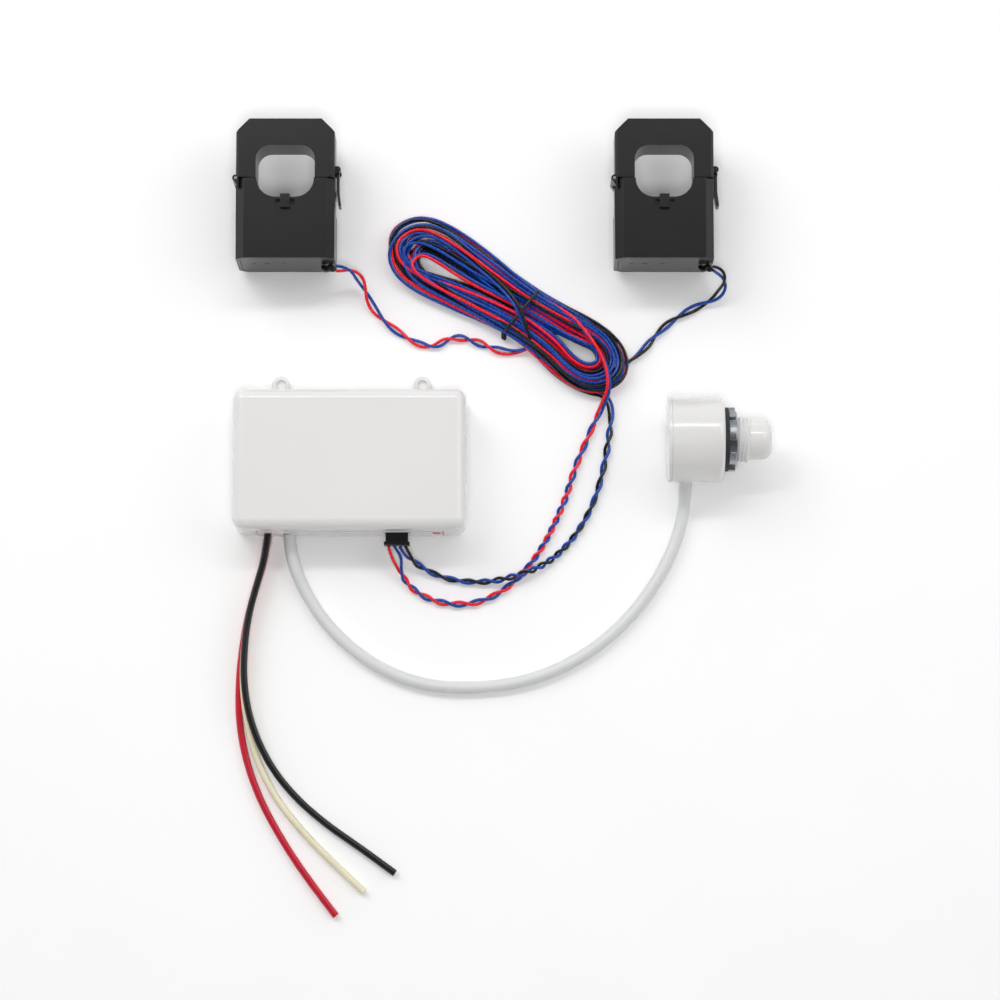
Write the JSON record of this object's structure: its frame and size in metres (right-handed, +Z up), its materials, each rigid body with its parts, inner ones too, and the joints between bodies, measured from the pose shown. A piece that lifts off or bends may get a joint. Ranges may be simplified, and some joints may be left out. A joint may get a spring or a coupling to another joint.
{
  "type": "whole house energy monitor",
  "caption": "Flat boxed mains monitor with two hinged split-core current transformers on twisted leads, a threaded knockout antenna and three supply leads.",
  "frame": {"origin": "on the resting surface, under the middle of the box round the module, both current transformers and the antenna", "axes": "+X to the right along the module's long side, towards the antenna's nose; +Y from the module to the current transformers; +Z up from the resting surface"},
  "size_m": [0.2446, 0.3607, 0.0387],
  "materials": {
    "white_abs": "satin moulded",
    "antenna_white": "satin moulded",
    "black_moulding": "fine spark texture",
    "black_nylon": "moulded",
    "red_button": "moulded",
    "solder_mask": "coated laminate",
    "ferrite": "ground grey",
    "copper_winding": "enamelled",
    "bobbin_nylon": "moulded",
    "spring_steel": "rolled",
    "zinc_steel": "bright zinc plate",
    "epdm": "moulded",
    "screw_steel": "zinc plate",
    "capacitor_sleeve": "shrink sleeve",
    "varistor_blue": "epoxy coated",
    "fuse_body": "glazed",
    "black_epoxy": "moulded",
    "terminal_green": "moulded",
    "shield_tin": "tin plate",
    "copper_foil": "etched",
    "pair_insulation": "pvc, red or black with blue",
    "white_cable": "pvc",
    "lead_black": "pvc",
    "lead_white": "pvc",
    "lead_red": "pvc",
    "tie_black": "coated wire"
  },
  "bodies": {
    "kit": {"antenna_board": "solder_mask", "antenna_body": "antenna_white", "antenna_cable": "white_cable", "antenna_cable_bushing": "white_abs", "antenna_cable_gland": "antenna_white", "antenna_element": "copper_foil", "antenna_rear_lid": "antenna_white", "back_plate": "white_abs", "board_screws": "screw_steel", "capacitors": "capacitor_sleeve", "circuit_board": "solder_mask", "cover_screws": "screw_steel", "ct_header": "black_nylon", "ct_left_bobbin": "bobbin_nylon", "ct_left_bottom_plate": "black_moulding", "ct_left_hinge_pin": "spring_steel", "ct_left_housing": "black_moulding", "ct_left_lead_grommet": "black_nylon", "ct_left_lead_inner": "pair_insulation", "ct_left_lead_knot": "tie_black", "ct_left_lead_outer": "pair_insulation", "ct_left_lower_core": "ferrite", "ct_left_winding": "copper_winding", "ct_plug": "black_nylon", "ct_right_bobbin": "bobbin_nylon", "ct_right_bottom_plate": "black_moulding", "ct_right_hinge_pin": "spring_steel", "ct_right_housing": "black_moulding", "ct_right_lead_grommet": "black_nylon", "ct_right_lead_inner": "pair_insulation", "ct_right_lead_knot": "tie_black", "ct_right_lead_outer": "pair_insulation", "ct_right_lower_core": "ferrite", "ct_right_winding": "copper_winding", "front_cover": "white_abs", "fuses": "fuse_body", "hank_tie": "tie_black", "lead_bushing": "white_abs", "lead_hank": "pair_insulation", "lead_terminals": "terminal_green", "line_lead_black": "lead_black", "line_lead_red": "lead_red", "metering_chip": "black_epoxy", "neutral_lead_white": "lead_white", "power_supply": "black_epoxy", "radio_board": "solder_mask", "radio_shield": "shield_tin", "reset_switch": "black_nylon", "varistors": "varistor_blue"},
    "ct_left_jaw": {"ct_left_cap": "black_moulding", "ct_left_upper_core": "ferrite", "ct_left_core_spring": "spring_steel"},
    "ct_left_lever": {"ct_left_latch": "black_nylon"},
    "ct_right_jaw": {"ct_right_cap": "black_moulding", "ct_right_upper_core": "ferrite", "ct_right_core_spring": "spring_steel"},
    "ct_right_lever": {"ct_right_latch": "black_nylon"},
    "button": {"reset_button": "red_button"},
    "gasket": {"antenna_gasket": "epdm"},
    "locknut": {"antenna_locknut": "zinc_steel"}
  },
  "joints": [
    {"name": "ct_left_jaw_hinge", "type": "hinge", "parent": "kit", "child": "ct_left_jaw", "pos_m": [-0.12076, 0.06665, 0.023], "axis": [0, 0, 1], "range_deg": [0, 95]},
    {"name": "ct_left_latch_flex", "type": "hinge", "parent": "ct_left_jaw", "child": "ct_left_lever", "pos_m": [-0.07466, 0.07145, 0.022], "axis": [0, 0, 1], "range_deg": [0, 20], "stiffness_Nm_per_rad": 0.02},
    {"name": "ct_right_jaw_hinge", "type": "hinge", "parent": "kit", "child": "ct_right_jaw", "pos_m": [0.05134, 0.06665, 0.023], "axis": [0, 0, 1], "range_deg": [0, 95]},
    {"name": "ct_right_latch_flex", "type": "hinge", "parent": "ct_right_jaw", "child": "ct_right_lever", "pos_m": [0.09744, 0.07145, 0.022], "axis": [0, 0, 1], "range_deg": [0, 20], "stiffness_Nm_per_rad": 0.02},
    {"name": "reset_button_press", "type": "slide", "parent": "kit", "child": "button", "axis": [0, 1, 0], "range_m": [0, 0.0008], "stiffness_N_per_m": 300},
    {"name": "gasket_slide", "type": "slide", "parent": "kit", "child": "gasket", "axis": [1, 0, 0], "range_m": [0, 0.009]},
    {"name": "locknut_turn", "type": "hinge", "parent": "gasket", "child": "locknut", "pos_m": [0.1026, -0.0517, 0.01935], "axis": [1, 0, 0], "range_deg": [0, 1786.2]}
  ],
  "couplings": [
    {"joint": "locknut_turn", "follows": "gasket_slide", "rad_per_m": 3463.7}
  ]
}
